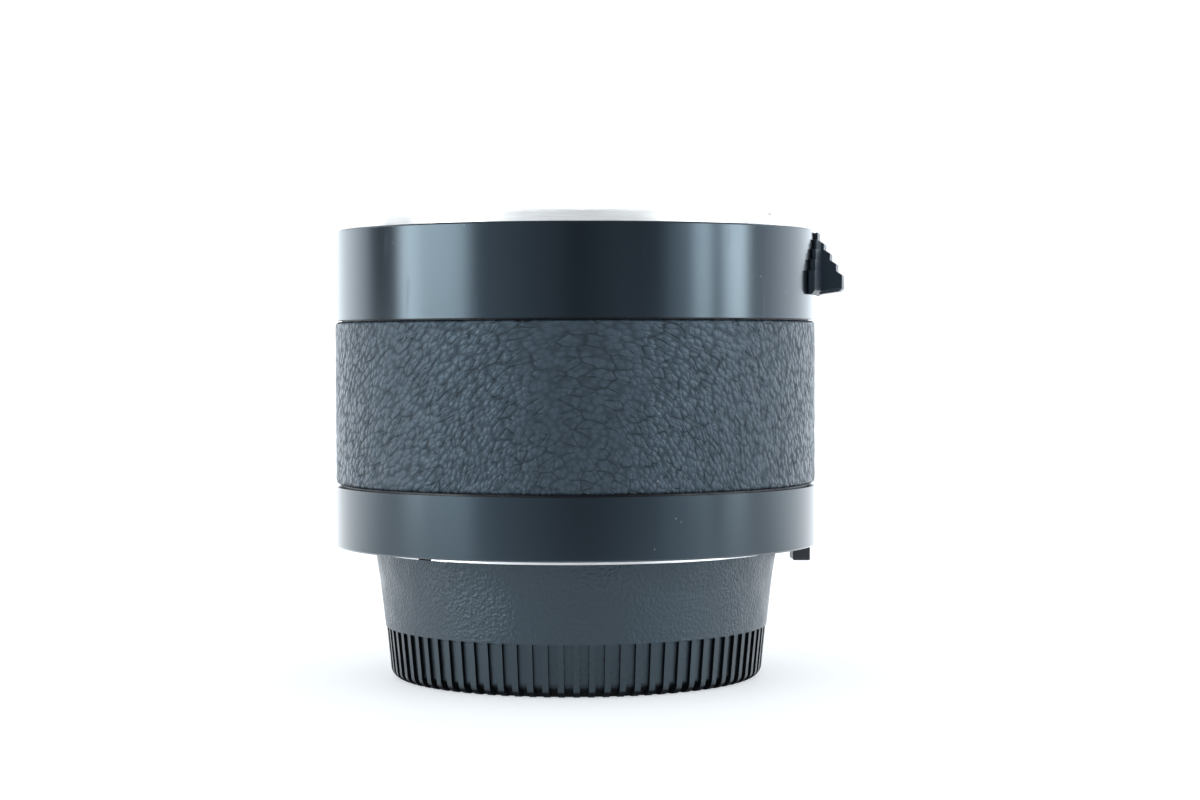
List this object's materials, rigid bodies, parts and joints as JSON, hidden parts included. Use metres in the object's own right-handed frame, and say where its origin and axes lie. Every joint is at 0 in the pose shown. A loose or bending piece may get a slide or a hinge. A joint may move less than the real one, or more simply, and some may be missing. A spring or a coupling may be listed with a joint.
{
  "type": "camera teleconverter",
  "caption": "Cylindrical camera teleconverter with bayonet mounts at both ends, stepped lens release lever, leatherette grip, aperture and meter couplings, standing on its push-on rear cap.",
  "frame": {"origin": "centre of the camera-side flange face, on the optical axis", "axes": "+Z along the optical axis towards the lens side; +X towards the release lever's side; -Y towards the pictured side"},
  "size_m": [0.0684, 0.0651, 0.0621],
  "materials": {
    "gloss_black_shell": "gloss",
    "leatherette": "grained",
    "lens_mount_metal": "satin",
    "camera_mount_metal": "satin",
    "black_metal": "matte",
    "inner_metal": "satin",
    "screw_steel": "satin",
    "spring_steel": "satin",
    "brass_ring": "satin",
    "lever_plastic": "semi-gloss",
    "cap_plastic": "fine grain",
    "index_paint": "matte",
    "glass": "coated"
  },
  "bodies": {
    "barrel": {"front_shell": "gloss_black_shell", "rear_shell": "gloss_black_shell", "sleeve": "black_metal", "sleeve_screws": "screw_steel", "grip_band": "leatherette", "index_dots": "index_paint", "chassis": "inner_metal", "lens_mount_ring": "lens_mount_metal", "lens_mount_screws": "screw_steel", "bayonet_springs": "spring_steel", "camera_mount_ring": "camera_mount_metal", "camera_mount_screws": "screw_steel", "lens_cell": "black_metal", "lens_cell_screws": "screw_steel", "front_light_shield": "black_metal", "rear_light_shield": "black_metal", "lock_spring": "spring_steel", "stop_down_clip": "spring_steel", "stop_down_spring": "spring_steel", "meter_spring": "spring_steel", "lens_element_1": "glass", "lens_element_2": "glass", "lens_element_3": "glass", "lens_element_4": "glass", "lens_element_5": "glass", "lens_element_6": "glass", "lens_element_7": "glass", "front_spacer": "black_metal", "middle_spacer": "black_metal", "rear_spacer": "black_metal", "front_retaining_ring": "black_metal", "rear_retaining_ring": "black_metal"},
    "release": {"release_lever": "lever_plastic", "release_slider": "screw_steel", "release_screws": "screw_steel", "lock_pin": "lens_mount_metal"},
    "stop_down": {"stop_down_ring": "brass_ring", "stop_down_front_arm": "screw_steel", "stop_down_rear_arm": "screw_steel", "arm_screws": "screw_steel"},
    "meter_coupling": {"meter_front_ring": "black_metal", "meter_follower": "black_metal", "meter_link_bars": "black_metal", "meter_rear_ring": "black_metal"},
    "cap": {"rear_cap": "cap_plastic"}
  },
  "joints": [
    {"name": "release_lever", "type": "slide", "parent": "barrel", "child": "release", "axis": [0, 0, -1], "range_m": [0, 0.0025], "stiffness_N_per_m": 600, "springref_m": -0.002, "deforming": ["lock_spring"]},
    {"name": "stop_down", "type": "hinge", "parent": "barrel", "child": "stop_down", "pos_m": [0, 0, 0], "axis": [0, 0, 1], "range_deg": [0, 20], "stiffness_Nm_per_rad": 0.02, "springref_deg": -11.46, "deforming": ["stop_down_spring"]},
    {"name": "meter_coupling", "type": "hinge", "parent": "barrel", "child": "meter_coupling", "pos_m": [0, 0, 0], "axis": [0, 0, 1], "range_deg": [0, 60], "stiffness_Nm_per_rad": 0.01, "springref_deg": -17.19, "deforming": ["meter_spring"]},
    {"name": "rear_cap", "type": "slide", "parent": "barrel", "child": "cap", "axis": [0, 0, -1], "range_m": [0, 0.03]}
  ]
}
